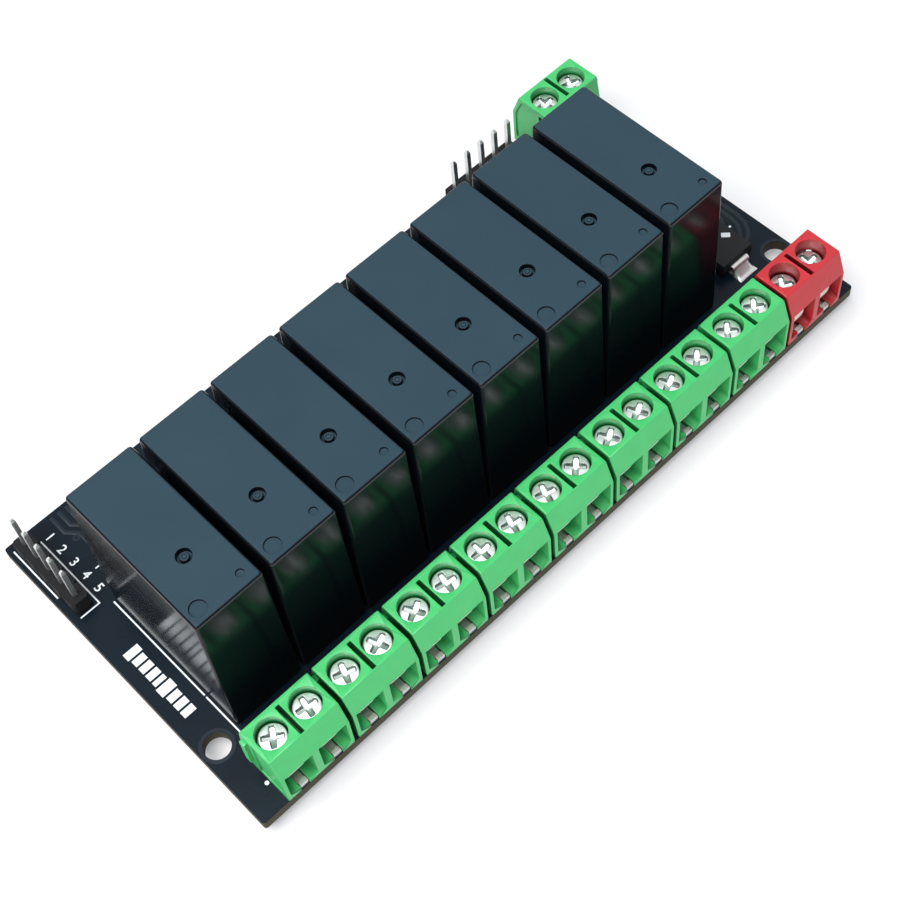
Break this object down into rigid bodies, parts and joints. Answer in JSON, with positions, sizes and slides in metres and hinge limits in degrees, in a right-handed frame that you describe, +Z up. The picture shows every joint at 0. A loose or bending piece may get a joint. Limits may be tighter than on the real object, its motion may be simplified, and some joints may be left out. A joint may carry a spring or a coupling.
{
  "type": "relay module board",
  "caption": "Long circuit board with a row of tall sealed relays, screw terminals along one edge, one more at the far corner, pin headers and a supply diode.",
  "frame": {"origin": "centre of the footprint, which is the board plus the small overhang of the far terminal, at the level of the lowest pin tips", "axes": "+X along the board's long edge towards the supply terminal, +Y from the row of output terminals to the far edge, +Z up out of the board's component side"},
  "size_m": [0.103, 0.0512, 0.0286],
  "materials": {
    "board_mask": "black solder mask over glass-fibre laminate, semi-gloss",
    "relay_cover": "moulded dark slate plastic, satin top, glossy sides",
    "relay_base": "black moulded base plate",
    "output_housing": "bright green moulded nylon, satin",
    "supply_housing": "bright red moulded nylon, satin",
    "clamp_metal": "nickel plated clamp block",
    "screw_metal": "bright zinc plated steel",
    "tinned_pins": "tin plated copper alloy",
    "header_plastic": "black moulded strip",
    "header_metal": "tin plated square pins",
    "chip_body": "black moulding compound",
    "resistor_body": "black glazed film between tinned caps",
    "lamp_body": "pale lens on a white chip base",
    "capacitor_body": "tan ceramic between tinned caps",
    "solder": "bright solder fillet"
  },
  "bodies": {
    "root": {"board": "board_mask", "relay_1_cover": "relay_cover", "relay_2_cover": "relay_cover", "relay_3_cover": "relay_cover", "relay_4_cover": "relay_cover", "relay_5_cover": "relay_cover", "relay_6_cover": "relay_cover", "relay_7_cover": "relay_cover", "relay_8_cover": "relay_cover", "relay_1_base": "relay_base", "relay_2_base": "relay_base", "relay_3_base": "relay_base", "relay_4_base": "relay_base", "relay_5_base": "relay_base", "relay_6_base": "relay_base", "relay_7_base": "relay_base", "relay_8_base": "relay_base", "relay_pins": "tinned_pins", "terminal_1_housing": "output_housing", "terminal_2_housing": "output_housing", "terminal_3_housing": "output_housing", "terminal_4_housing": "output_housing", "terminal_5_housing": "output_housing", "terminal_6_housing": "output_housing", "terminal_7_housing": "output_housing", "terminal_8_housing": "output_housing", "terminal_supply_housing": "supply_housing", "terminal_aux_housing": "output_housing", "terminal_1_clamps": "clamp_metal", "terminal_2_clamps": "clamp_metal", "terminal_3_clamps": "clamp_metal", "terminal_4_clamps": "clamp_metal", "terminal_5_clamps": "clamp_metal", "terminal_6_clamps": "clamp_metal", "terminal_7_clamps": "clamp_metal", "terminal_8_clamps": "clamp_metal", "terminal_supply_clamps": "clamp_metal", "terminal_aux_clamps": "clamp_metal", "terminal_screws": "screw_metal", "terminal_contacts": "tinned_pins", "input_header_strip": "header_plastic", "input_header_pins": "header_metal", "output_header_strip": "header_plastic", "output_header_pins": "header_metal", "supply_diode_body": "chip_body", "supply_diode_leads": "tinned_pins", "shift_register_body": "chip_body", "shift_register_leads": "tinned_pins", "driver_body": "chip_body", "driver_leads": "tinned_pins", "chip_resistors": "resistor_body", "status_lamps": "lamp_body", "chip_capacitors": "capacitor_body", "solder_joints": "solder"}
  },
  "joints": []
}
